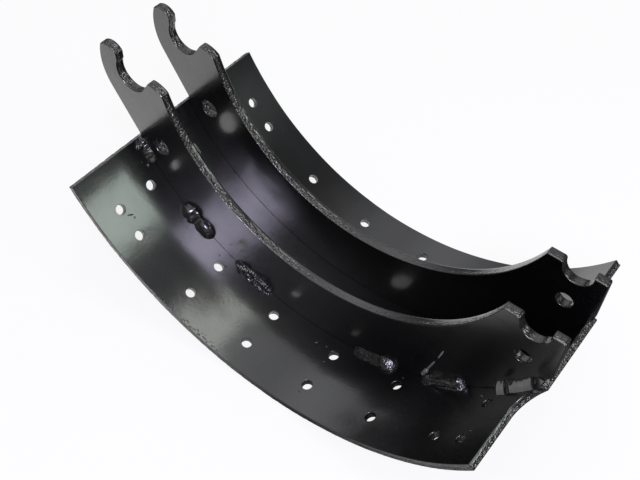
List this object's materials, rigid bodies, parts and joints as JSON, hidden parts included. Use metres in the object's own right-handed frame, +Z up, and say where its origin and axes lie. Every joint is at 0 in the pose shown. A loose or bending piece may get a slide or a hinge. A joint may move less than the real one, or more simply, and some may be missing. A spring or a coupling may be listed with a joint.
{
  "type": "brake shoe",
  "caption": "Bare drum brake shoe: a rolled steel table with rivet holes, carried on parallel webs with an anchor hook at one end and a roller seat at the other.",
  "frame": {"origin": "centre of the anchor pin's seat, midway between the webs", "axes": "+Y along the drum's axis, +X from the anchor end to the cam end, +Z up with the shoe lying on its convex back"},
  "size_m": [0.3435, 0.1778, 0.1619],
  "materials": {
    "table_paint": "gloss black paint over rolled plate",
    "web_paint": "gloss black paint over blanked plate",
    "weld_paint": "gloss black paint over weld bead"
  },
  "bodies": {
    "root": {"table": "table_paint", "front_web": "web_paint", "back_web": "web_paint", "front_weld_1": "weld_paint", "back_weld_1": "weld_paint", "front_weld_2": "weld_paint", "back_weld_2": "weld_paint", "front_weld_3": "weld_paint", "back_weld_3": "weld_paint", "front_weld_4": "weld_paint", "back_weld_4": "weld_paint", "front_weld_5": "weld_paint", "back_weld_5": "weld_paint", "front_weld_6": "weld_paint", "back_weld_6": "weld_paint"}
  },
  "joints": []
}
